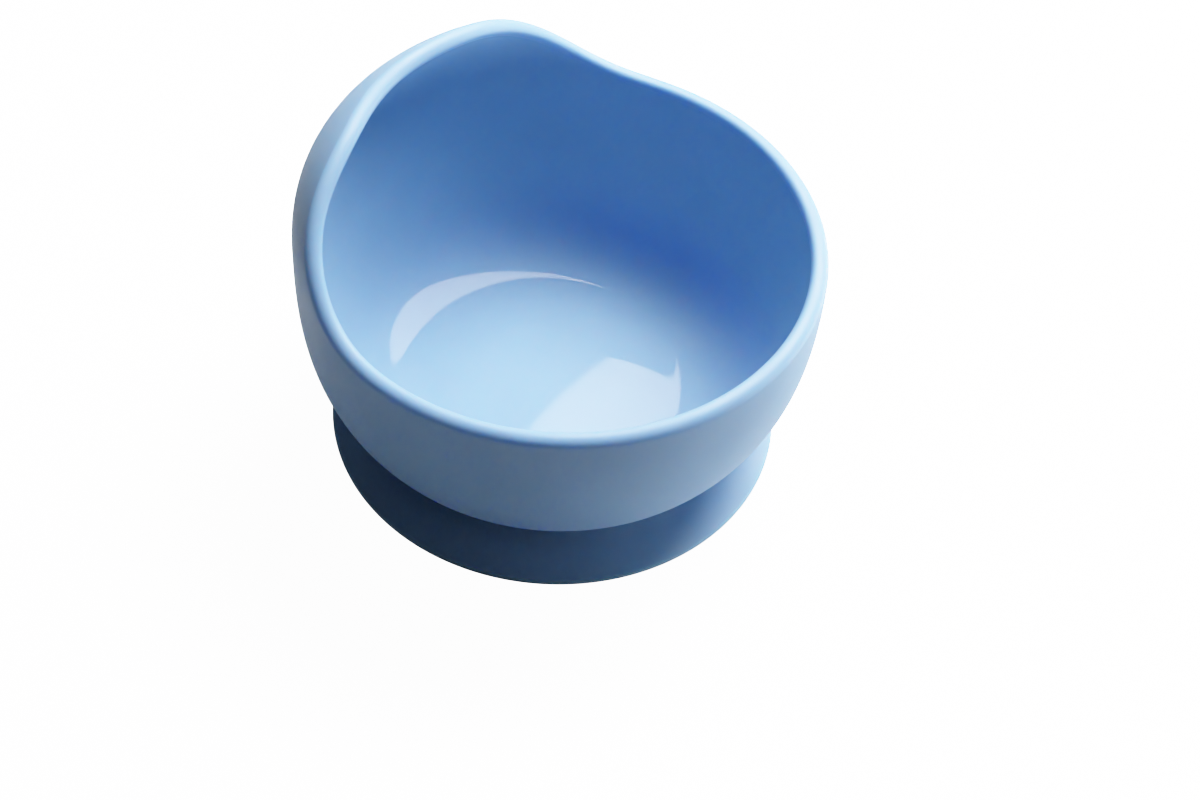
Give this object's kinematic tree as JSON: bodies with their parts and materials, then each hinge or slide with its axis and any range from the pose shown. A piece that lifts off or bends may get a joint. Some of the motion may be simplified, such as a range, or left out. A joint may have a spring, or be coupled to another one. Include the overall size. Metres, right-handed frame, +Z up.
{
  "type": "suction bowl",
  "caption": "Round soft silicone baby bowl with a tall scoop wall at the back, on a flared suction base with a release tab.",
  "frame": {"origin": "on the bowl's axis, in the plane of the sealing lip's underside, which is the table's surface", "axes": "+Z up along the bowl's axis, +Y towards the scoop wall and the release tab, +X to the right"},
  "size_m": [0.12, 0.125, 0.0833],
  "materials": {
    "bowl_silicone": "soft powder-blue silicone, satin outside and polished inside",
    "base_silicone": "the same silicone, satin, polished under the sealing lip"
  },
  "bodies": {
    "base": {"sealing_lip": "base_silicone"},
    "bowl": {"bowl": "bowl_silicone", "neck": "base_silicone", "suction_skirt": "base_silicone"},
    "tab": {"release_tab": "base_silicone"}
  },
  "joints": [
    {"name": "press_down", "type": "slide", "parent": "base", "child": "bowl", "axis": [0, 0, -1], "range_m": [0, 0.0024], "stiffness_N_per_m": 6000, "springref_m": -0.0003, "deforming": ["suction_skirt"]},
    {"name": "tab_fold", "type": "hinge", "parent": "base", "child": "tab", "pos_m": [0, 0.055, 0.0009], "axis": [1, 0, 0], "range_deg": [0, 55], "stiffness_Nm_per_rad": 0.003}
  ]
}
